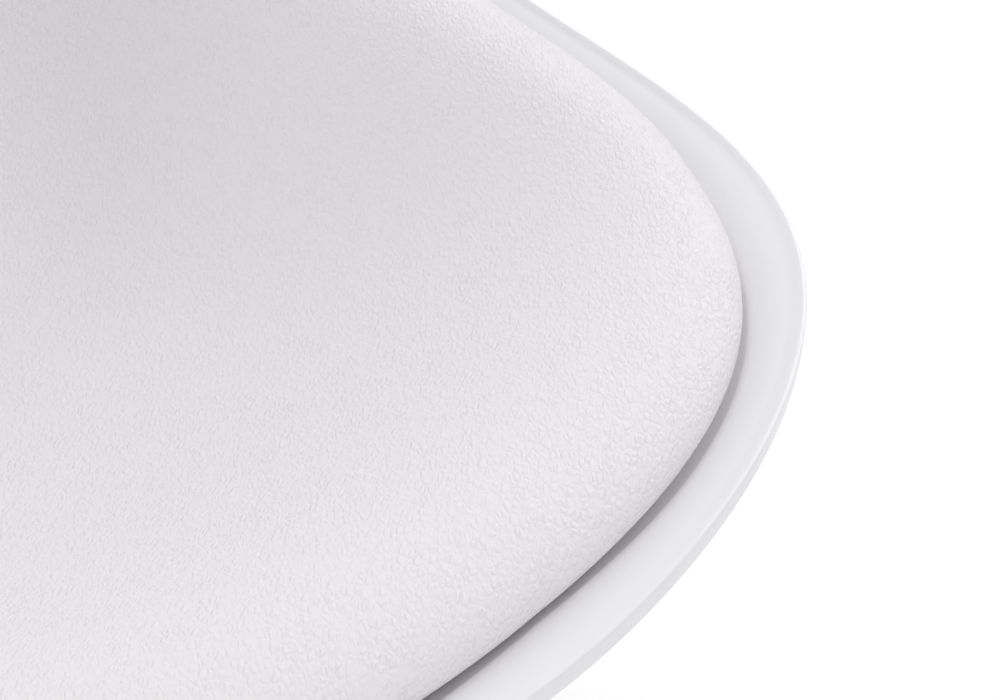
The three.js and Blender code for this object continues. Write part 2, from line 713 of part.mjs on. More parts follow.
piece('lift_tube', liftTube(), chrome);
piece('guide_bush', guideBush(), whiteAcetal);
piece('lift_cylinder', liftCylinder(), chrome);
piece('release_button', releaseButton(), zincSteel);
piece('piston_rod', pistonRod(), zincSteel);
piece('piston_head', pistonHead(), brass);
piece('thrust_bearing', thrustBearing(), zincSteel);
piece('lift_bumper', bumper(), blackRubber);
piece('retaining_clip', retainingClip(), zincSteel);

piece('base_hub', baseHub(), chrome);
for (let i = 0; i < legCount; i++) {
  const angle = Math.PI / 2 + (i * 2 * Math.PI) / legCount;
  const leg = piece(`base_leg_${i + 1}`, legGeometry(), chrome);
  leg.rotation.z = angle;
  const castor = new THREE.Group();
  castor.position.set(castorCircleRadius * Math.cos(angle), castorCircleRadius * Math.sin(angle), 0);
  castor.rotation.z = -Math.PI / 2;
  stool.add(castor);
  piece(`castor_stem_${i + 1}`, castorStem(), zincSteel, castor);
  piece(`castor_housing_${i + 1}`, castorHousing(), blackNylon, castor);
  piece(`castor_axle_${i + 1}`, axleGeometry(), zincSteel, castor);
  piece(`castor_wheel_left_${i + 1}`, castorWheel(1), blackNylon, castor);
  piece(`castor_wheel_right_${i + 1}`, castorWheel(-1), blackNylon, castor);
}

export default stool;
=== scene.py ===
"""Looks of a low rolling stool.

A padded bucket seat on a gas lift, with a star base and twin-wheel castors.
"""
import json
import math

import bpy
from mathutils import Matrix, Vector


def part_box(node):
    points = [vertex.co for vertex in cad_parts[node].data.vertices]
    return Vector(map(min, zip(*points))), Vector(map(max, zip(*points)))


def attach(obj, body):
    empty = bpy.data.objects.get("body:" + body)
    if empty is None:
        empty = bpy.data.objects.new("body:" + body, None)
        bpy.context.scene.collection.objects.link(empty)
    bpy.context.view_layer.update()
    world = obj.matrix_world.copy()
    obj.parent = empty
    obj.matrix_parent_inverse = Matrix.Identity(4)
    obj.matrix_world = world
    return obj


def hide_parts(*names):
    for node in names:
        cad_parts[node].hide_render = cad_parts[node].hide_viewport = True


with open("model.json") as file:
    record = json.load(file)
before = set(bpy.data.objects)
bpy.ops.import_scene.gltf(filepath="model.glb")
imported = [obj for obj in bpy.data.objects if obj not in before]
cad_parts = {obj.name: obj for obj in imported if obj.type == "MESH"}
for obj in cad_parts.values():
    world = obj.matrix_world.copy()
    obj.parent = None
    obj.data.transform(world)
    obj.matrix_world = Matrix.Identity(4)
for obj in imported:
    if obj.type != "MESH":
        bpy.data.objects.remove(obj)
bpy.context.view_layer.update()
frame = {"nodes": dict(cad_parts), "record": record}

MM = 0.001
FULL_TURN = 2 * math.pi

# ---- Sizes, read from the frame where it shows them ----------------------------------------------
plate_low, plate_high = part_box("mechanism_plate")
channel_low, channel_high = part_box("lever_channel")
socket_low, socket_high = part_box("taper_socket")
tube_low, tube_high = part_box("lift_tube")
bush_low, bush_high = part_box("guide_bush")
cylinder_low, cylinder_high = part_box("lift_cylinder")
hub_low, hub_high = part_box("base_hub")
leg_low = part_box("base_leg_1")[0]
pin_low, pin_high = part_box("lever_pin")
handle_low, handle_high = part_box("lever_handle")
lever_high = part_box("lever_rod")[1]
wheel_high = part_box("castor_wheel_left_1")[1]
stem_low, stem_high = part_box("castor_stem_1")

# Seat outline and rim, as moulded
SEAT_HALF_WIDTH = 207 * MM
SEAT_FRONT_REACH = 187 * MM
SEAT_BACK_REACH = 200 * MM
OUTLINE_POWER_X = 1.9
OUTLINE_POWER_Y = 3.0
BACK_RISE = 109 * MM
BACK_RISE_START = 147 * MM
BACK_RISE_POWER = 2.25
FRONT_DIP = 2.2 * MM
FRONT_DIP_START = 56 * MM
SHELL_WALL = 4 * MM
PLATE_TO_SHELL = 8 * MM
BOWL_DEPTH = 42 * MM
FLANGE_WIDTH = 18.3 * MM
FLANGE_CORNER_EXTRA = 0.5 * MM
FLANGE_DISH = 2.5 * MM
BACK_FLANGE_TILT = math.radians(55)
LIP_DROP = 6.6 * MM
LIP_ROLL = 2.2 * MM
SIDE_BOWL_SLOPE = 0.7
BACK_BOWL_SLOPE = 2.0
BOSS_RADIUS = 10 * MM
BOLT_SPACING = 110 * MM
BOLT_PLACES = [(x * BOLT_SPACING / 2, y * BOLT_SPACING / 2) for x, y in ((-1, -1), (1, -1), (1, 1), (-1, 1))]

bowl_floor = plate_high.z + PLATE_TO_SHELL + SHELL_WALL
side_rim = bowl_floor + BOWL_DEPTH

# Pad
PAD_CREST_HEIGHT = 14 * MM
PAD_CREST_INSET = 24 * MM
PAD_CENTRE_THICKNESS = 27.5 * MM
PAD_BULGE = 1.5 * MM
PAD_BULGE_HEIGHT = 2.5 * MM
PAD_TUCK = 5 * MM
PAD_FLOOR_GAP = 0.6 * MM
SHADOW_GAP = 0.7 * MM
# How far the cover swells and draws in, with the place and spread of each in degrees from the front
PAD_SHOULDER_FULL, SHOULDER_TURN, SHOULDER_SPREAD = 2.5 * MM, 22, 16
PAD_THIGH_IN, THIGH_TURN, THIGH_SPREAD = 4.2 * MM, 55, 16
FRONT_OVERLAP, FRONT_SPREAD = 1.8 * MM, 12

# Sheet steel, holes and bores
SHEET = 2.5 * MM
PIN_HOLE_RADIUS = 2.8 * MM
ROD_BORE_RADIUS = 5.5 * MM

# Castors and legs
CASTOR_TRAIL = 18 * MM
LEG_COUNT = 5


# ---- Modelling -----------------------------------------------------------------------------------
def deselect():
    if bpy.context.object and bpy.context.object.mode != "OBJECT":
        bpy.ops.object.mode_set(mode="OBJECT")
    bpy.ops.object.select_all(action="DESELECT")


def only(piece):
    deselect()
    piece.select_set(True)
    bpy.context.view_layer.objects.active = piece


def started(name):
    """The primitive just added, named."""
    piece = bpy.context.object
    piece.name = piece.data.name = name
    return piece


def edit(piece):
    only(piece)
    bpy.ops.object.mode_set(mode="EDIT")
    bpy.ops.mesh.select_all(action="SELECT")


def done(piece):
    bpy.ops.object.mode_set(mode="OBJECT")
    return piece


def settled(piece):
    """Place, turn and scale go into the mesh."""
    only(piece)
    bpy.ops.object.transform_apply(location=True, rotation=True, scale=True)
    return piece


def tidy_normals(piece):
    edit(piece)
    bpy.ops.mesh.remove_doubles(threshold=1e-6)
    bpy.ops.mesh.normals_make_consistent(inside=False)
    return done(piece)


def smooth(piece, degrees=35):
    only(piece)
    bpy.ops.object.shade_smooth_by_angle(angle=math.radians(degrees))
    return piece


def modified(piece, kind, **settings):
    modifier = piece.modifiers.new(kind.title(), kind)
    for key, value in settings.items():
        setattr(modifier, key, value)
    only(piece)
    bpy.ops.object.modifier_apply(modifier=modifier.name)
    return piece


def combined(piece, tool, operation):
    modified(piece, "BOOLEAN", object=tool, operation=operation, solver="EXACT")
    bpy.data.objects.remove(tool)
    return piece


def copied(piece, name, matrix):
    twin = piece.copy()
    twin.data = piece.data.copy()
    twin.name = twin.data.name = name
    twin.data.transform(matrix)
    bpy.context.collection.objects.link(twin)
    return twin


def rounded(corners, steps=4):
    """A closed outline from (u, v, fillet) corners, each rounded by its fillet."""
    outline = []
    count = len(corners)
    for i, (u, v, fillet) in enumerate(corners):
        here = Vector((u, v))
        if fillet == 0:
            outline.append(here)
            continue
        before = Vector(corners[i - 1][:2]) - here
        after = Vector(corners[(i + 1) % count][:2]) - here
        half = before.angle(after) / 2
        reach = min(fillet / math.tan(half), 0.48 * before.length, 0.48 * after.length)
        start = here + before.normalized() * reach
        end = here + after.normalized() * reach
        for k in range(steps + 1):
            share = k / steps
            outline.append(start * (1 - share) ** 2 + here * 2 * share * (1 - share) + end * share ** 2)
    return outline


def spun(name, outline, steps=96, start=0.0, angle=FULL_TURN):
    """A profile of (radius, height) spun about Z.

    It closes on itself, or on the axis where it starts there.
    """
    deselect()
    bpy.ops.mesh.primitive_circle_add(vertices=len(outline), fill_type="NOTHING")
    piece = started(name)
    for vertex, (radius, height) in zip(piece.data.vertices, outline):
        vertex.co = (radius * math.cos(start), radius * math.sin(start), height)
    on_axis = outline[0][0] == 0
    edit(piece)
    if on_axis:
        bpy.ops.mesh.select_all(action="DESELECT")
        bpy.ops.mesh.select_mode(type="EDGE")
        bpy.ops.object.mode_set(mode="OBJECT")
        for edge in piece.data.edges:
            edge.select = all(piece.data.vertices[i].co.xy.length < 1e-9 for i in edge.vertices)
        bpy.ops.object.mode_set(mode="EDIT")
        bpy.ops.mesh.delete(type="EDGE")
        bpy.ops.mesh.select_mode(type="VERT")
        bpy.ops.mesh.select_all(action="SELECT")
    bpy.ops.mesh.spin(steps=steps, angle=angle, center=(0, 0, 0), axis=(0, 0, -1))
    bpy.ops.mesh.select_all(action="SELECT")
    bpy.ops.mesh.remove_doubles(threshold=1e-6)
    if angle < FULL_TURN:
        bpy.ops.mesh.fill_holes(sides=0)
    bpy.ops.mesh.normals_make_consistent(inside=False)
    return done(piece)


def rod(name, radius, low, high, steps=48):
    outline = [Vector((0, low)), Vector((radius, low)), Vector((radius, high)), Vector((0, high))]
    return spun(name, outline, steps)


def hole_at(place, radius, low, high, steps=32):
    """A tool for a round hole along Z, moved to its place."""
    tool = rod("hole", radius, low, high, steps)
    tool.data.transform(Matrix.Translation(place))
    return tool


def only_faces(piece, wanted):
    """Edit mode with just the wanted faces selected."""
    only(piece)
    bpy.ops.object.mode_set(mode="EDIT")
    bpy.ops.mesh.select_mode(type="FACE")
    bpy.ops.mesh.select_all(action="DESELECT")
    bpy.ops.object.mode_set(mode="OBJECT")
    for face in piece.data.polygons:
        face.select = wanted(face)
    bpy.ops.object.mode_set(mode="EDIT")


def opened(piece, wanted):
    """The wanted faces taken off a box, and the rest turned outward."""
    only_faces(piece, wanted)
    bpy.ops.mesh.delete(type="FACE")
    bpy.ops.mesh.select_all(action="SELECT")
    bpy.ops.mesh.normals_make_consistent(inside=False)
    return done(piece)


def eased(piece, width, segments, degrees):
    """Sharp edges rounded off."""
    return modified(piece, "BEVEL", width=width, segments=segments, limit_method="ANGLE",
                    angle_limit=math.radians(degrees))


def skinned(name, rings, first, last):
    """A ball reshaped: its rings take the places given, from a first pole to a last one."""
    segments = len(rings[0])
    count = len(rings) + 1
    deselect()
    bpy.ops.mesh.primitive_uv_sphere_add(segments=segments, ring_count=count, radius=1)
    piece = started(name)
    for vertex in piece.data.vertices:
        ring = round(math.acos(max(-1.0, min(1.0, vertex.co.z))) / math.pi * count)
        turn = round(math.atan2(vertex.co.y, vertex.co.x) / FULL_TURN * segments) % segments
        if ring == 0:
            vertex.co = first
        elif ring == count:
            vertex.co = last
        else:
            vertex.co = rings[ring - 1][turn]
    return tidy_normals(piece)


# ---- Materials -----------------------------------------------------------------------------------
def linear(hex_colour):
    """An sRGB hex colour as linear red, green, blue and alpha."""
    channels = [int(hex_colour[i:i + 2], 16) / 255 for i in (1, 3, 5)]
    return [c / 12.92 if c <= 0.04045 else ((c + 0.055) / 1.055) ** 2.4 for c in channels] + [1.0]


def node(tree, kind, settings=None, **links):
    """Adds a node: settings go to its sockets by name, or to the node itself.

    Links join sockets to its inputs by name, or by number as i0, i1 and so on.
    """
    added = tree.nodes.new(kind)
    for key, value in (settings or {}).items():
        if key in added.inputs:
            added.inputs[key].default_value = value
        else:
            setattr(added, key, value)
    for key, socket in links.items():
        by_number = key[0] == "i" and key[1:].isdigit()
        tree.links.new(socket, added.inputs[int(key[1:]) if by_number else key.replace("_", " ")])
    return added


def material(name, colour, roughness, metallic=0.0, **sockets):
    made = bpy.data.materials.new(name)
    made.use_nodes = True
    shader = made.node_tree.nodes["Principled BSDF"]
    shader.inputs["Base Color"].default_value = linear(colour)
    shader.inputs["Roughness"].default_value = roughness
    shader.inputs["Metallic"].default_value = metallic
    for key, value in sockets.items():
        shader.inputs[key.replace("_", " ")].default_value = value
    return made, made.node_tree, shader


def pattern_place(tree):
    return node(tree, "ShaderNodeTexCoord").outputs["Object"]


def bump(tree, shader, height, strength, distance):
    bumped = node(tree, "ShaderNodeBump", {"Strength": strength, "Distance": distance}, Height=height)
    tree.links.new(bumped.outputs["Normal"], shader.inputs["Normal"])
    return bumped


def varied_colour(tree, shader, colours, scale, detail=3.0):
    """Slight, slow change of tint over the surface."""
    place = pattern_place(tree)
    cloud = node(tree, "ShaderNodeTexNoise", {"Scale": scale, "Detail": detail}, Vector=place)
    ramp = node(tree, "ShaderNodeValToRGB", Fac=cloud.outputs["Fac"])
    ramp.color_ramp.elements[0].position = 0.35
    ramp.color_ramp.elements[1].position = 0.65
    for element, colour in zip(ramp.color_ramp.elements, colours):
        element.color = linear(colour)
    tree.links.new(ramp.outputs["Color"], shader.inputs["Base Color"])


def varied_roughness(tree, shader, scale, low, high, detail=4.0):
    place = pattern_place(tree)
    cloud = node(tree, "ShaderNodeTexNoise", {"Scale": scale, "Detail": detail}, Vector=place)
    limits = {"From Min": 0.1, "From Max": 0.9, "To Min": low, "To Max": high}
    spread = node(tree, "ShaderNodeMapRange", {"interpolation_type": "SMOOTHERSTEP", **limits},
                  Value=cloud.outputs["Fac"])
    tree.links.new(spread.outputs["Result"], shader.inputs["Roughness"])


def white_pu_leather():
    """PU-coated cloth embossed with a leather grain.

    Its cells are flat, with soft creases between, and drawn out along the cloth's length.
    """
    made, tree, shader = material("white_pu_leather_embossed", "#ECE9EB", 0.5, IOR=1.48)
    cell, sway_size, patch_size, rumple_size = 1.6 * MM, 2.2 * MM, 7 * MM, 1.9 * MM
    grain_way, drawn_out = math.radians(39), 2.0
    along_cloth = node(tree, "ShaderNodeMapping", {"vector_type": "TEXTURE"}, Vector=pattern_place(tree))
    along_cloth.inputs["Rotation"].default_value = (0, 0, grain_way)
    along_cloth.inputs["Scale"].default_value = (drawn_out, 1.0, 1.0)
    place = along_cloth.outputs["Vector"]
    # cells whose edges sway
    sway = node(tree, "ShaderNodeTexNoise", {"Scale": 1 / sway_size, "Detail": 2.0, "Roughness": 0.5},
                Vector=place)
    centred = node(tree, "ShaderNodeVectorMath", {"operation": "SUBTRACT"}, i0=sway.outputs["Color"])
    centred.inputs[1].default_value = (0.5, 0.5, 0.5)
    shift = node(tree, "ShaderNodeVectorMath", {"operation": "SCALE", "Scale": 1.5 * MM},
                 i0=centred.outputs["Vector"])
    moved = node(tree, "ShaderNodeVectorMath", {"operation": "ADD"}, i0=place, i1=shift.outputs["Vector"])
    cells = node(tree, "ShaderNodeTexVoronoi", {"feature": "DISTANCE_TO_EDGE", "Scale": 1 / cell},
                 Vector=moved.outputs["Vector"])
    crease_limits = {"From Min": 0.0, "From Max": 0.34}
    crease = node(tree, "ShaderNodeMapRange", {"interpolation_type": "SMOOTHSTEP", **crease_limits},
                  Value=cells.outputs["Distance"])
    # creases that are deeper in some patches than in others, over a fine rumple
    patches = node(tree, "ShaderNodeTexNoise", {"Scale": 1 / patch_size, "Detail": 2.0}, Vector=place)
    depth_limits = {"From Min": 0.3, "From Max": 0.7, "To Min": 0.65, "To Max": 1.0}
    depth = node(tree, "ShaderNodeMapRange", depth_limits, Value=patches.outputs["Fac"])
    uneven = node(tree, "ShaderNodeMath", {"operation": "MULTIPLY"}, i0=crease.outputs["Result"],
                  i1=depth.outputs["Result"])
    rumple = node(tree, "ShaderNodeTexNoise", {"Scale": 1 / rumple_size, "Detail": 2.0}, Vector=place)
    grain = node(tree, "ShaderNodeMath", {"operation": "MULTIPLY_ADD"}, i0=rumple.outputs["Fac"],
                 i2=uneven.outputs["Value"])
    grain.inputs[1].default_value = 1.2
    bump(tree, shader, grain.outputs["Value"], 0.68, 0.3 * MM)
    return made


def white_moulded_pp():
    """Injection-moulded polypropylene, satin tool finish: a broad soft sheen over a faint orange peel."""
    made, tree, shader = material("white_moulded_polypropylene_satin", "#EEEDF0", 0.3, IOR=1.49)
    place = pattern_place(tree)
    flow = node(tree, "ShaderNodeTexNoise", {"Scale": 1 / (24 * MM), "Detail": 1.0}, Vector=place)
    bump(tree, shader, flow.outputs["Fac"], 0.1, 0.8 * MM)
    varied_roughness(tree, shader, 25.0, 0.27, 0.34, 1.0)
    return made


def chrome_plate():
    """Bright chrome over polished steel: near-mirror, with faint wiping haze."""
    made, tree, shader = material("polished_chrome_plate", "#DADCDF", 0.07, 1.0)
    varied_roughness(tree, shader, 45.0, 0.045, 0.11)
    return made


def zinc_plate():
    """Bright zinc on turned steel: greyer and softer than chrome."""
    made, tree, shader = material("zinc_plated_steel", "#B9BDC1", 0.34, 1.0)
    varied_colour(tree, shader, ("#AEB2B6", "#C2C5C9"), 140.0)
    varied_roughness(tree, shader, 300.0, 0.28, 0.42)
    return made


def black_powder_coat():
    """Fine-texture black powder coat on pressed steel."""
    made, tree, shader = material("black_powder_coat_fine_texture", "#1B1B1D", 0.5)
    place = pattern_place(tree)
    texture = node(tree, "ShaderNodeTexNoise", {"Scale": 1 / (0.8 * MM), "Detail": 2.0}, Vector=place)
    bump(tree, shader, texture.outputs["Fac"], 0.3, 0.12 * MM)
    varied_colour(tree, shader, ("#18181A", "#202023"), 30.0)
    return made


def black_nylon():
    """Moulded glass-filled nylon: satin, with a spark-eroded tool texture."""
    made, tree, shader = material("black_nylon_spark_texture", "#17171A", 0.42, IOR=1.53)
    place = pattern_place(tree)
    texture = node(tree, "ShaderNodeTexNoise", {"Scale": 1 / (0.5 * MM), "Detail": 2.0}, Vector=place)
    bump(tree, shader, texture.outputs["Fac"], 0.16, 0.06 * MM)
    varied_roughness(tree, shader, 80.0, 0.36, 0.5)
    return made


def grey_tread():
    """Soft polyurethane tread: matt, slightly scuffed."""
    made, tree, shader = material("grey_polyurethane_tread", "#4A4B4E", 0.62, IOR=1.5)
    varied_colour(tree, shader, ("#414245", "#54555A"), 120.0, 5.0)
    place = pattern_place(tree)
    scuff = node(tree, "ShaderNodeTexNoise", {"Scale": 420.0, "Detail": 4.0}, Vector=place)
    bump(tree, shader, scuff.outputs["Fac"], 0.18, 0.1 * MM)
    return made


def plain_finish(name, colours, roughness, metallic=0.0, scale=90.0):
    """An inner piece that is seldom seen: its colour varies slightly, and nothing else."""
    made, tree, shader = material(name, colours[0], roughness, metallic)
    varied_colour(tree, shader, colours, scale)
    varied_roughness(tree, shader, scale * 2, max(0.04, roughness - 0.06), roughness + 0.06)
    return made


leather = white_pu_leather()
shell_plastic = white_moulded_pp()
chrome = chrome_plate()
zinc = zinc_plate()
powder_coat = black_powder_coat()
nylon = black_nylon()
tread = grey_tread()
brass = plain_finish("machined_brass", ("#B8974E", "#C6A65E"), 0.3, 1.0)
rubber = plain_finish("black_moulded_rubber", ("#1E1E1F", "#262627"), 0.75)
acetal = plain_finish("white_acetal", ("#E6E6E2", "#EEEEEA"), 0.38)
foam = plain_finish("cream_polyurethane_foam", ("#DFD5A4", "#E8DFB4"), 0.95, 0.0, 400.0)

SLOT_FINISH = {
    "shell": shell_plastic, "pad_leather": leather, "foam": foam, "chrome": chrome, "zinc_steel": zinc,
    "black_steel": powder_coat, "black_nylon": nylon, "brass": brass, "rubber": rubber, "acetal": acetal,
}


def finished(piece, slot, body, *nodes, materials=None):
    """Gives a piece its finish, its body and the nodes it stands for."""
    piece.data.materials.clear()
    for finish in materials or [SLOT_FINISH[slot]]:
        piece.data.materials.append(finish)
    if nodes:
        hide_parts(*nodes)
    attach(piece, body)
    return piece


# ---- Seat surfaces -------------------------------------------------------------------------------
def smooth_step(share):
    share = max(0.0, min(1.0, share))
    return share * share * (3 - 2 * share)


def swell(angle, middle, spread):
    """A smooth rise to 1 round a middle angle."""
    return math.exp(-((angle - middle) / spread) ** 2)


def rim_point(turn):
    """The lip's outer edge at a turn angle."""
    s = math.sin(turn)
    width = max(0.0, 1 - abs(s) ** OUTLINE_POWER_Y) ** (1 / OUTLINE_POWER_X)
    x = math.copysign(SEAT_HALF_WIDTH * width, math.cos(turn))
    y = s * (SEAT_FRONT_REACH if s < 0 else SEAT_BACK_REACH)
    climb = max(0.0, (y + BACK_RISE_START) / (SEAT_BACK_REACH + BACK_RISE_START)) ** BACK_RISE_POWER
    towards_front = (-y - FRONT_DIP_START) / (SEAT_FRONT_REACH - FRONT_DIP_START)
    dip = smooth_step(towards_front) * (1 - (x / SEAT_HALF_WIDTH) ** 2)
    return Vector((x, y, side_rim + BACK_RISE * climb - FRONT_DIP * dip))


class Section:
    """The seat cut at one turn: the lip, the way out along the flange, and the way square to it."""

    def __init__(self, turn):
        step = 1e-3
        self.lip = rim_point(turn)
        along = rim_point(turn + step) - rim_point(turn - step)
        out = Vector((along.y, -along.x, 0)).normalized()
        self.tilt = BACK_FLANGE_TILT * smooth_step(self.lip.y / SEAT_BACK_REACH)
        self.across = out * math.cos(self.tilt) + Vector((0, 0, math.sin(self.tilt)))
        self.up = -out * math.sin(self.tilt) + Vector((0, 0, math.cos(self.tilt)))
        self.width = FLANGE_WIDTH + FLANGE_CORNER_EXTRA * math.sin(2 * turn) ** 2
        # the cover is fuller beside the middle of the front edge and drawn in at the thighs
        from_front = math.degrees(abs(math.remainder(turn + math.pi / 2, FULL_TURN)))
        full = PAD_SHOULDER_FULL * swell(from_front, SHOULDER_TURN, SHOULDER_SPREAD)
        drawn_in = PAD_THIGH_IN * swell(from_front, THIGH_TURN, THIGH_SPREAD)
        front_share = smooth_step(-math.sin(turn) / 0.3)
        self.pad_bulge = PAD_BULGE + (full - drawn_in) * front_share
        overlap = FRONT_OVERLAP * swell(from_front, 0, FRONT_SPREAD)
        self.ledge = self.width - self.pad_bulge - SHADOW_GAP + overlap

    def at(self, outward, upward):
        return self.lip + self.across * outward + self.up * upward

    def bowl_end(self):
        return self.at(-self.ledge, -FLANGE_DISH)

    def bowl_slope(self):
        return SIDE_BOWL_SLOPE + (BACK_BOWL_SLOPE - SIDE_BOWL_SLOPE) * self.tilt / BACK_FLANGE_TILT


def sweep(share, centre_height, end, end_slope):
    """A radial sweep, flat round the centre, with a given slope at its end."""
    reach = math.hypot(end.x, end.y)
    rise = (end.z - centre_height) * share ** 3 * (4 - 3 * share)
    lean = end_slope * reach * share ** 3 * (share - 1)
    return Vector((end.x * share, end.y * share, centre_height + rise + lean))


SEAT_SEGMENTS = 240
sections = [Section(FULL_TURN * i / SEAT_SEGMENTS) for i in range(SEAT_SEGMENTS)]


def ring_of(place):
    return [place(section) for section in sections]


def offset_ring(rings, index, distance):
    """A ring moved square to the surface that it and its neighbours make."""
    before, here, after = rings[max(index - 1, 0)], rings[index], rings[min(index + 1, len(rings) - 1)]
    moved = []
    for j, point in enumerate(here):
        radial = after[j] - before[j]
        round_way = here[(j + 1) % SEAT_SEGMENTS] - here[j - 1]
        moved.append(point + radial.cross(round_way).normalized() * distance)
    return moved


def bowl_ring(share):
    return ring_of(lambda s: sweep(share, bowl_floor, s.bowl_end(), s.bowl_slope()))


def shell_piece():
    """The moulded shell: a bowl, a slightly dished flange, a rolled edge and a turned-down skirt."""
    bowl_rings = 30
    bowl = [bowl_ring(i / bowl_rings) for i in range(1, bowl_rings + 1)]
    under = [offset_ring(bowl, i, -SHELL_WALL) for i in range(len(bowl))]
    # heights in mm over the flange, by share of its width
    flange = [(-0.96, -1.95), (-0.9, -1.5), (-0.8, -1.15), (-0.65, -0.9), (-0.5, -0.7), (-0.35, -0.52),
              (-0.2, -0.38), (-0.1, -0.28)]
    rings = list(bowl)
    for share, height in flange:
        rings.append(ring_of(lambda s: s.at(share * (s.ledge - LIP_ROLL) - LIP_ROLL, height * MM)))
    drop = -LIP_DROP / MM
    lip = rounded([(-2.8, -0.1, 0), (0.3, 0.5, 3.2), (0.0, drop + 0.6, 2.6), (-3.4, drop, 1.4),
                   (-5.4, -5.2, 1.5), (-9.0, -5.9, 0)], 6)
    for outward, upward in lip:
        rings.append(ring_of(lambda s: s.at(outward * MM, upward * MM)))
    rings += reversed(under)
    piece = skinned("seat_shell_moulding", rings, (0, 0, bowl_floor), (0, 0, bowl_floor - SHELL_WALL))
    foot = plate_high.z + 0.3 * MM
    boss_top = bowl_floor - MM
    insert_radius, insert_depth = 4.9 * MM, 11 * MM
    boss_outline = rounded([(0, foot, 0), (BOSS_RADIUS, foot, 0.8 * MM), (BOSS_RADIUS, boss_top, 0),
                            (0, boss_top, 0)])
    for x, y in BOLT_PLACES:
        boss = spun("boss", boss_outline, 48)
        boss.data.transform(Matrix.Translation((x, y, 0)))
        combined(piece, boss, "UNION")
        combined(piece, hole_at((x, y, 0), insert_radius, foot - 2 * MM, foot + insert_depth), "DIFFERENCE")
    smooth(piece, 40)
    return finished(piece, "shell", "seat", "seat_shell")


# ---- Pad -----------------------------------------------------------------------------------------
def pad_piece():
    """The upholstered pad: a hollow top, a soft raised edge and a wall that tucks down on to the shell."""
    centre = bowl_floor + PAD_CENTRE_THICKNESS
    top_rings, shoulder_rings, wall_rings = 34, 16, 8
    rings = []

    def crest(section):
        return section.at(-section.width - PAD_CREST_INSET, PAD_CREST_HEIGHT)

    for i in range(1, top_rings + 1):
        share = i / top_rings
        rings.append(ring_of(lambda s: sweep(share, centre, crest(s), math.tan(s.tilt))))
    reach_up = PAD_CREST_HEIGHT - PAD_BULGE_HEIGHT
    for i in range(1, shoulder_rings + 1):
        angle = i / shoulder_rings * math.pi / 2
        out_share, up_share = math.sin(angle), math.cos(angle)
        rings.append(ring_of(lambda s: s.at(
            -s.width - PAD_CREST_INSET + (PAD_CREST_INSET + s.pad_bulge) * out_share,
            PAD_BULGE_HEIGHT + reach_up * up_share)))
    seam = -FLANGE_DISH + 0.4 * MM
    for i in range(1, wall_rings + 1):
        drop = i / wall_rings
        rings.append(ring_of(lambda s: s.at(
            -s.width + s.pad_bulge - PAD_TUCK * drop ** 2,
            PAD_BULGE_HEIGHT + (seam - PAD_BULGE_HEIGHT) * drop)))
    bowl = [bowl_ring(share) for share in (0.97, 0.93, 0.86, 0.75, 0.6, 0.4, 0.2)]
    rings += [offset_ring(bowl, i, -PAD_FLOOR_GAP) for i in range(len(bowl))]
    piece = skinned("seat_pad", rings, (0, 0, centre), (0, 0, bowl_floor + PAD_FLOOR_GAP))
    smooth(piece, 60)
    finished(piece, "pad_leather", "seat", "pad_cover", "pad_foam")
    return piece


# ---- Mechanism -----------------------------------------------------------------------------------
def mechanism_plate_piece():
    """A pressed steel plate: a rounded square tray, open downward."""
    width = plate_high.x - plate_low.x
    depth = plate_high.z - plate_low.z
    middle = (plate_low.z + plate_high.z) / 2
    deselect()
    bpy.ops.mesh.primitive_cube_add(size=1, location=(0, 0, middle), scale=(width, width, depth))
    piece = settled(started("mechanism_plate_pressing"))
    only(piece)
    bpy.ops.object.mode_set(mode="EDIT")
    bpy.ops.mesh.select_mode(type="EDGE")
    bpy.ops.mesh.select_all(action="DESELECT")
    bpy.ops.object.mode_set(mode="OBJECT")
    for edge in piece.data.edges:
        a, b = (piece.data.vertices[i].co for i in edge.vertices)
        edge.select = abs(a.z - b.z) > depth / 2
    bpy.ops.object.mode_set(mode="EDIT")
    bpy.ops.mesh.bevel(offset=16 * MM, segments=10, affect="EDGES")
    done(piece)
    opened(piece, lambda face: face.normal.z < -0.9)
    modified(piece, "SOLIDIFY", thickness=SHEET, offset=-1)
    for x, y in BOLT_PLACES:
        combined(piece, hole_at((x, y, 0), 3.4 * MM, plate_low.z - MM, plate_high.z + MM), "DIFFERENCE")
    eased(piece, 0.7 * MM, 3, 40)
    smooth(piece, 40)
    return finished(piece, "black_steel", "seat", "mechanism_plate")


def lever_channel_piece():
    """A folded steel channel with a hole for the cylinder and two for the lever's pin."""
    size = channel_high - channel_low
    middle = (channel_high + channel_low) / 2
    deselect()
    bpy.ops.mesh.primitive_cube_add(size=1, location=middle, scale=size)
    piece = settled(started("lever_channel_folded"))
    opened(piece, lambda face: face.normal.z > 0.9 or abs(face.normal.x) > 0.9)
    # an open channel has no inside, so its faces are turned to look away from its middle
    if sum(f.normal.dot(f.center - middle) for f in piece.data.polygons) < 0:
        edit(piece)
        bpy.ops.mesh.flip_normals()
        done(piece)
    modified(piece, "SOLIDIFY", thickness=SHEET, offset=-1)
    cylinder_hole = rod("hole", 14.5 * MM, channel_low.z - MM, channel_low.z + SHEET + MM, 64)
    combined(piece, cylinder_hole, "DIFFERENCE")
    pin_hole = rod("hole", PIN_HOLE_RADIUS, -size.y, size.y, 32)
    pin_middle = (pin_low + pin_high) / 2
    pin_hole.data.transform(Matrix.Translation(pin_middle) @ Matrix.Rotation(math.pi / 2, 4, "X"))
    combined(piece, pin_hole, "DIFFERENCE")
    eased(piece, 0.8 * MM, 3, 40)
    smooth(piece, 40)
    return finished(piece, "black_steel", "seat", "lever_channel")


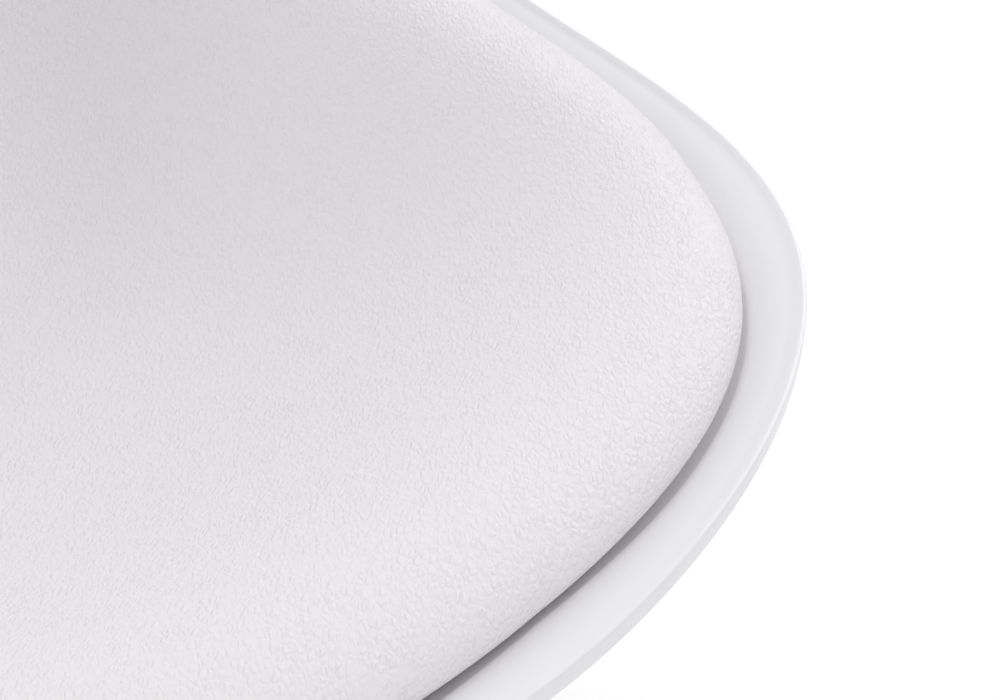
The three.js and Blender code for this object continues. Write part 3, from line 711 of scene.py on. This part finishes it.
def taper_socket_piece():
    """A turned socket for the cylinder, flared where it is welded to the plate."""
    outer, bore, flare = socket_high.x, 14.3 * MM, 2.5 * MM
    low, high = socket_low.z, socket_high.z
    piece = spun("taper_socket_turned", rounded([
        (bore, low, 0.6 * MM), (outer, low, 1.5 * MM), (outer, high - 3 * MM, 1 * MM),
        (outer + flare, high, 0.4 * MM), (bore, high, 0.3 * MM)]))
    smooth(piece)
    return finished(piece, "black_steel", "seat", "taper_socket")


def lever_piece():
    """A bent steel rod with a pressed eye at its pin."""
    pivot = (pin_low + pin_high) / 2
    drop = pivot.z - (handle_low.z + handle_high.z) / 2
    radius, eye_radius, eye_half = 4 * MM, 7 * MM, 5 * MM
    end = handle_low.x + 12 * MM
    places = [(lever_high.x - radius, 0), (pivot.x - 2 * MM, 0), (pivot.x - 26 * MM, 4 * MM),
              (pivot.x - 60 * MM, drop - 2 * MM), (handle_low.x + 50 * MM, drop), (end, drop)]
    deselect()
    bpy.ops.curve.primitive_nurbs_path_add()
    wire = started("lever_rod_bent")
    wire.data.splines.clear()
    spline = wire.data.splines.new("BEZIER")
    spline.bezier_points.add(len(places) - 1)
    for point, (x, down) in zip(spline.bezier_points, places):
        point.co = (x, 0, pivot.z - down)
        point.handle_left_type = point.handle_right_type = "AUTO"
    wire.data.bevel_depth = radius
    wire.data.bevel_resolution = 8
    wire.data.resolution_u = 16
    wire.data.use_fill_caps = True
    only(wire)
    bpy.ops.object.convert(target="MESH")
    piece = tidy_normals(bpy.context.object)
    on_pin = Matrix.Translation(pivot) @ Matrix.Rotation(math.pi / 2, 4, "X")
    eye = spun("eye", rounded([
        (0, -eye_half, 0), (eye_radius, -eye_half, 1 * MM), (eye_radius, eye_half, 1 * MM), (0, eye_half, 0)]), 48)
    eye.data.transform(on_pin)
    combined(piece, eye, "UNION")
    hole = rod("hole", PIN_HOLE_RADIUS, -9 * MM, 9 * MM, 32)
    hole.data.transform(on_pin)
    combined(piece, hole, "DIFFERENCE")
    smooth(piece, 40)
    return finished(piece, "chrome", "lever", "lever_rod")


def lever_handle_piece():
    """A moulded paddle grip with finger grooves underneath and above."""
    low, high = handle_low, handle_high
    middle = (low + high) / 2
    length = high.x - low.x
    neck_half_width, socket_depth = 7.2 * MM, 11 * MM
    flare_end, tail_start, head_end = 0.55, 0.82, 0.05
    groove_depth, grooves_from, grooves_to, groove_pitch = 0.5 * MM, 0.45, 0.8, 46
    squareness = 0.75
    stations, segments = 40, 48
    rings = []
    for i in range(stations + 1):
        share = i / stations
        flare = smooth_step(share / flare_end)
        half_width = neck_half_width + (high.y - middle.y - neck_half_width) * flare
        half_height = (high.z - middle.z) * (0.86 + 0.14 * flare)
        tail = max(0.0, (share - tail_start) / (1 - tail_start))
        head = max(0.0, (head_end - share) / head_end)
        close = math.sqrt(max(0.0, 1 - tail ** 2)) * (1 - 0.12 * head ** 2)
        grooved = grooves_from < share < grooves_to
        groove = groove_depth * math.sin(share * groove_pitch) ** 8 if grooved else 0.0
        ring = []
        for j in range(segments):
            angle = -FULL_TURN * j / segments
            c, s = math.cos(angle), math.sin(angle)
            y = half_width * close * math.copysign(abs(c) ** squareness, c)
            tall = (half_height * max(close, 0.02) - groove) * math.copysign(abs(s) ** squareness, s)
            ring.append(Vector((high.x - share * length, y, middle.z + tall)))
        rings.append(ring)
    piece = skinned("lever_handle_grip", rings, (high.x, 0, middle.z), (low.x, 0, middle.z))
    hole = rod("hole", 4.3 * MM, 0, length - socket_depth, 32)
    mouth = Matrix.Translation((low.x + socket_depth, 0, middle.z))
    hole.data.transform(mouth @ Matrix.Rotation(math.pi / 2, 4, "Y"))
    combined(piece, hole, "DIFFERENCE")
    smooth(piece, 50)
    return finished(piece, "black_nylon", "lever", "lever_handle")


def bolt_pieces():
    """Hexagon flange bolts up through the plate."""
    head_radius, flange_radius, shank_radius = 5.4 * MM, 6.6 * MM, 2.9 * MM
    head_top = plate_low.z + 7 * MM - 0.3 * MM
    flange_outline = rounded([(0, head_top - 1.4 * MM, 0), (flange_radius, head_top - 1.2 * MM, 0.3 * MM),
                              (flange_radius, head_top, 0.2 * MM), (0, head_top, 0)])
    for i in range(1, 5):
        low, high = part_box(f"seat_bolt_{i}")
        middle = (low + high) / 2
        head = rod("head", head_radius, low.z, head_top - MM, 6)
        flange = spun("flange", flange_outline, 40)
        shank = rod("shank", shank_radius, head_top - MM, high.z, 24)
        combined(head, flange, "UNION")
        combined(head, shank, "UNION")
        head.data.transform(Matrix.Translation((middle.x, middle.y, 0)))
        head.name = head.data.name = f"seat_bolt_flanged_{i}"
        eased(head, 0.35 * MM, 2, 35)
        smooth(head, 35)
        finished(head, "zinc_steel", "seat", f"seat_bolt_{i}")


# ---- Gas lift ------------------------------------------------------------------------------------
def lift_tube_piece():
    outer, wall, floor = tube_high.x, 1.6 * MM, 3 * MM
    low, high = tube_low.z, tube_high.z
    piece = spun("lift_tube_drawn", rounded([
        (ROD_BORE_RADIUS, low, 0), (outer, low, 2 * MM), (outer, high, 0.7 * MM),
        (outer - wall, high, 0.5 * MM), (outer - wall, low + floor, 0),
        (ROD_BORE_RADIUS, low + floor, 0)]), 128)
    smooth(piece)
    return finished(piece, "chrome", "base", "lift_tube")


def guide_bush_piece():
    inner, outer, collar = 14.5 * MM, 23.1 * MM, bush_high.x
    low, high = bush_low.z, bush_high.z
    seat = tube_high.z + 0.3 * MM
    piece = spun("guide_bush_moulded", rounded([
        (inner, low, 0), (outer, low, 0), (outer, seat, 0), (collar, seat, 0.3 * MM),
        (collar - MM, high, 1.2 * MM), (inner, high, 0.8 * MM)]), 96)
    smooth(piece)
    return finished(piece, "acetal", "base", "guide_bush")


def lift_cylinder_piece():
    radius, button_radius = cylinder_high.x, 4.5 * MM
    low, high = cylinder_low.z, cylinder_high.z
    chamber, chamber_low, chamber_high = radius - 3 * MM, low + 5 * MM, high - 24 * MM
    piece = spun("lift_cylinder_ground", rounded([
        (ROD_BORE_RADIUS, low, 0), (radius, low, 0.8 * MM), (radius, socket_low.z, 0),
        (radius - 0.7 * MM, high, 0.8 * MM), (button_radius, high, 0), (button_radius, chamber_high, 0),
        (chamber, chamber_high, 0), (chamber, chamber_low, 0), (ROD_BORE_RADIUS, chamber_low, 0)]), 96)
    smooth(piece)
    return finished(piece, "chrome", "seat", "lift_cylinder")


# ---- Base ----------------------------------------------------------------------------------------
def base_hub_piece():
    bore, outer, chamfer = 25.3 * MM, hub_high.x, 3 * MM
    low, high = hub_low.z, hub_high.z
    piece = spun("base_hub_turned", rounded([
        (bore, low, 0.4 * MM), (outer, low, 1.2 * MM), (outer, high - 4 * MM, 1.5 * MM),
        (outer - chamfer, high, 1.5 * MM), (bore, high, 0.5 * MM)]), 128)
    smooth(piece)
    return finished(piece, "chrome", "base", "base_hub")


def leg_pieces():
    """Tapered, chromed legs with a castor socket at the tip, welded round the hub."""
    circle = (stem_low.y + stem_high.y) / 2
    floor_gap = leg_low.z
    socket_radius, socket_height = 12 * MM, 25 * MM
    socket_top = floor_gap + socket_height
    weld_gap, weld_flare, weld_length = 0.15 * MM, 2.2 * MM, 6 * MM
    hub_radius = hub_high.x + weld_gap
    hub_size, tip_size = (36 * MM, 34 * MM), (23 * MM, 17 * MM)
    hub_middle = hub_low.z + 8 * MM + hub_size[1] / 2
    tip_middle = socket_top - tip_size[1] / 2 - MM
    squareness = 0.6
    stations, segments = 44, 56
    start = hub_radius - 4.3 * MM
    rings = []
    for i in range(stations + 1):
        share = (i / stations) ** 1.25
        x = start + (circle - start) * share
        flare = weld_flare * max(0.0, 1 - (x - hub_radius) / weld_length) ** 2
        half_width = (hub_size[0] * (1 - share) + tip_size[0] * share) / 2 + flare
        half_height = (hub_size[1] * (1 - share) + tip_size[1] * share) / 2 + flare
        middle = hub_middle + (tip_middle - hub_middle) * share ** 1.4
        ring = []
        for j in range(segments):
            angle = FULL_TURN * j / segments
            c, s = math.cos(angle), math.sin(angle)
            y = half_width * math.copysign(abs(c) ** squareness, c)
            z = middle + half_height * math.copysign(abs(s) ** squareness, s)
            on_hub = math.sqrt(max(0.0, hub_radius ** 2 - y ** 2)) if abs(y) < hub_radius else 0.0
            ring.append(Vector((max(x, on_hub), y, z)))
        rings.append(ring)
    leg = skinned("leg", rings, (hub_radius, 0, hub_middle), (circle, 0, tip_middle))
    socket = spun("socket", rounded([
        (0, floor_gap, 0), (socket_radius, floor_gap, 1 * MM), (socket_radius, socket_top, 2.5 * MM),
        (0, socket_top, 0)]), 64)
    socket.data.transform(Matrix.Translation((circle, 0, 0)))
    combined(leg, socket, "UNION")
    combined(leg, hole_at((circle, 0, 0), 5.9 * MM, floor_gap - MM, socket_top - 3 * MM, 48), "DIFFERENCE")
    smooth(leg, 40)
    for i in range(LEG_COUNT):
        turn = math.pi / 2 + FULL_TURN * i / LEG_COUNT
        piece = copied(leg, f"base_leg_chromed_{i + 1}", Matrix.Rotation(turn, 4, "Z"))
        finished(piece, "chrome", "base", f"base_leg_{i + 1}")
    bpy.data.objects.remove(leg)


# ---- Castors, modelled with the swivel axis on Z and the wheels trailing towards +X --------------
def castor_housing_model(wheel_radius, half_web, on_axle):
    """A hood over both wheels, with a web between them and a boss for the stem."""
    hood_inner, hood_outer, half_hood = 26.5 * MM, 28.7 * MM, 21.5 * MM
    web_inner, axle_hole, axle_boss = 8 * MM, 3.3 * MM, 9 * MM
    boss_radius, boss_low, boss_high = 10 * MM, 35 * MM, leg_low.z - 3 * MM
    housing = spun("housing", rounded([
        (web_inner, -half_web, 0), (hood_inner, -half_web, 1.5 * MM), (hood_inner, -half_hood, 0.5 * MM),
        (hood_outer, -half_hood, 1.4 * MM), (hood_outer, half_hood, 1.4 * MM),
        (hood_inner, half_hood, 0.5 * MM), (hood_inner, half_web, 1.5 * MM), (web_inner, half_web, 0)]),
        72, math.radians(-20), math.radians(205))
    boss_ring = spun("boss_ring", rounded([
        (axle_hole, -half_web, 0), (axle_boss, -half_web, 0.6 * MM), (axle_boss, half_web, 0.6 * MM),
        (axle_hole, half_web, 0)]), 64)
    combined(housing, boss_ring, "UNION")
    housing.data.transform(on_axle)
    boss = spun("boss", rounded([
        (0, boss_low, 0), (boss_radius, boss_low, 0), (boss_radius, boss_high, 1.2 * MM),
        (0, boss_high, 0)]), 64)
    for side in (-1, 1):
        space = rod("space", wheel_radius + 1.2 * MM, half_web, half_web + 18 * MM, 96)
        space.data.transform(on_axle @ Matrix.Scale(side, 4, (0, 0, 1)))
        tidy_normals(space)
        combined(boss, space, "DIFFERENCE")
    combined(housing, boss, "UNION")
    combined(housing, rod("hole", 4.35 * MM, wheel_radius + 7 * MM, leg_low.z, 48), "DIFFERENCE")
    smooth(housing, 35)
    return housing


def castor_wheel_model(wheel_radius, half_web, on_axle):
    """A moulded wheel with a recessed face and a soft tread."""
    near, far = half_web + 0.5 * MM, half_web + 14 * MM
    axle_hole, recess = 3.3 * MM, 3 * MM
    wheel = spun("wheel", rounded([
        (0, far - 3.5 * MM, 0), (axle_hole, far - 3.5 * MM, 0), (axle_hole, near, 0.3 * MM),
        (wheel_radius, near, 1.8 * MM), (wheel_radius, far, 3.6 * MM), (wheel_radius - 5 * MM, far, 0.4 * MM),
        (wheel_radius - 5.4 * MM, far - 1.0 * MM, 0.3 * MM),
        (wheel_radius - 7 * MM, far - 0.6 * MM, 0.5 * MM),
        (wheel_radius - 9 * MM, far - recess, 1 * MM), (8.5 * MM, far - recess, 1 * MM),
        (7 * MM, far - 1 * MM, 1.2 * MM), (0, far - 0.6 * MM, 0)]), 96)
    wheel.data.materials.append(nylon)
    wheel.data.materials.append(tread)
    tread_inner = wheel_radius - 5.2 * MM
    for face in wheel.data.polygons:
        face.material_index = 1 if face.center.xy.length > tread_inner else 0
    smooth(wheel, 35)
    wheel.data.transform(on_axle)
    return wheel


def castor_stem_model():
    """A turned stem: a shank below, a collar under the leg, and a grip ring near its top."""
    shank, collar, plug, groove = 4 * MM, 8 * MM, 5.5 * MM, 5.0 * MM
    low, high = stem_low.z, stem_high.z
    collar_low, collar_high = leg_low.z - 2.5 * MM, leg_low.z - 0.3 * MM
    stem = spun("stem", rounded([
        (0, low, 0), (shank, low, 0.5 * MM), (shank, collar_low, 0), (collar, collar_low, 0.5 * MM),
        (collar, collar_high, 0.3 * MM), (plug, collar_high, 0), (plug, high - 6 * MM, 0),
        (groove, high - 6 * MM, 0.4 * MM), (groove, high - 4 * MM, 0.4 * MM), (plug, high - 3 * MM, 0.4 * MM),
        (shank, high, 0.6 * MM), (0, high, 0)]), 48)
    smooth(stem, 35)
    return stem


def castor_pieces():
    """Five castors, each placed under its leg's tip with its wheels trailing."""
    wheel_radius = wheel_high.z / 2
    half_web = 7 * MM
    on_axle = Matrix.Translation((CASTOR_TRAIL, 0, wheel_radius)) @ Matrix.Rotation(math.pi / 2, 4, "X")
    housing = castor_housing_model(wheel_radius, half_web, on_axle)
    wheel = castor_wheel_model(wheel_radius, half_web, on_axle)
    stem = castor_stem_model()
    for i in range(1, LEG_COUNT + 1):
        low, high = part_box(f"castor_stem_{i}")
        middle = (low + high) / 2
        place = Matrix.Translation((middle.x, middle.y, 0)) @ Matrix.Rotation(-math.pi / 2, 4, "Z")
        hood = copied(housing, f"castor_hood_{i}", place)
        finished(hood, "black_nylon", f"castor_{i}", f"castor_housing_{i}")
        finished(copied(stem, f"castor_stem_turned_{i}", place), "zinc_steel", "base", f"castor_stem_{i}")
        for name, node_name, mirror in (("a", "left", 1), ("b", "right", -1)):
            piece = copied(wheel, f"castor_wheel_{name}_{i}", place @ Matrix.Scale(mirror, 4, (0, 1, 0)))
            if mirror < 0:
                edit(piece)
                bpy.ops.mesh.normals_make_consistent(inside=False)
                done(piece)
            finished(piece, "black_nylon", f"wheels_{i}", f"castor_wheel_{node_name}_{i}",
                     materials=[nylon, tread])
    for model in (housing, wheel, stem):
        bpy.data.objects.remove(model)


# ---- Studio --------------------------------------------------------------------------------------
def camera():
    """Close in on the seat's front corner, from the front left and above."""
    azimuth, elevation = math.radians(-50.6), math.radians(36.0)
    back = Vector((math.sin(azimuth) * math.cos(elevation), -math.cos(azimuth) * math.cos(elevation),
                   math.sin(elevation)))
    target = Vector((74.5 * MM, -97.7 * MM, side_rim))
    distance = 0.714
    data = bpy.data.cameras.new("camera")
    data.lens = 97.0
    data.sensor_width = 36.0
    data.clip_start = 0.02
    data.clip_end = 60
    made = bpy.data.objects.new("camera", data)
    bpy.context.collection.objects.link(made)
    made.location = target + back * distance
    made.rotation_euler = (-back).to_track_quat("-Z", "Y").to_euler()
    bpy.context.scene.camera = made


def softbox(name, place, aim, size, power):
    data = bpy.data.lights.new(name, "AREA")
    data.shape = "SQUARE"
    data.size = size
    data.energy = power
    made = bpy.data.objects.new(name, data)
    bpy.context.collection.objects.link(made)
    made.location = place
    made.rotation_euler = (Vector(aim) - Vector(place)).to_track_quat("-Z", "Y").to_euler()


def softbox_round(name, bearing, power):
    """A large softbox round the seat, a little above it: bearings run from +Y towards +X."""
    seat = Vector((0, 0, side_rim))
    turn, rise = math.radians(bearing), math.radians(25)
    way = Vector((math.sin(turn) * math.cos(rise), math.cos(turn) * math.cos(rise), math.sin(rise)))
    softbox(name, seat + way * 1.8, seat, 1.4, power)


def studio():
    scene = bpy.context.scene
    scene.view_settings.view_transform = "Standard"
    scene.view_settings.look = "None"
    world = bpy.data.worlds.new("studio")
    scene.world = world
    world.use_nodes = True
    background = world.node_tree.nodes["Background"]
    background.inputs["Color"].default_value = linear("#FBFBFD")
    background.inputs["Strength"].default_value = 0.36
    softbox_round("right_softbox", 90, 16.2)
    softbox_round("back_left_softbox", 315, 13.2)
    softbox_round("back_right_softbox", 45, 3.8)
    softbox("front_overhead_softbox", (-0.4, -0.9, 1.3), (-0.4, -0.9, 0), 0.6, 8.6)
    deselect()
    bpy.ops.mesh.primitive_plane_add(size=14, location=(0, 0, -0.4 * MM))
    floor = started("studio_floor")
    made, tree, shader = material("matt_white_acrylic_light_table", "#FAFAFA", 0.9)
    varied_colour(tree, shader, ("#F8F8F8", "#FBFBFB"), 1.5)
    shader.inputs["Emission Color"].default_value = linear("#FFFFFF")
    shader.inputs["Emission Strength"].default_value = 0.1
    floor.data.materials.append(made)


# ---- Build ---------------------------------------------------------------------------------------
camera()
studio()
slot_of = {part["node"]: part["material_slot"] for part in frame["record"]["subparts"]}
for node_name, cad_piece in frame["nodes"].items():
    cad_piece.data.materials.clear()
    cad_piece.data.materials.append(SLOT_FINISH[slot_of[node_name]])
shell_piece()
pad_piece()
mechanism_plate_piece()
lever_channel_piece()
taper_socket_piece()
lever_piece()
lever_handle_piece()
bolt_pieces()
lift_tube_piece()
guide_bush_piece()
lift_cylinder_piece()
base_hub_piece()
leg_pieces()
castor_pieces()
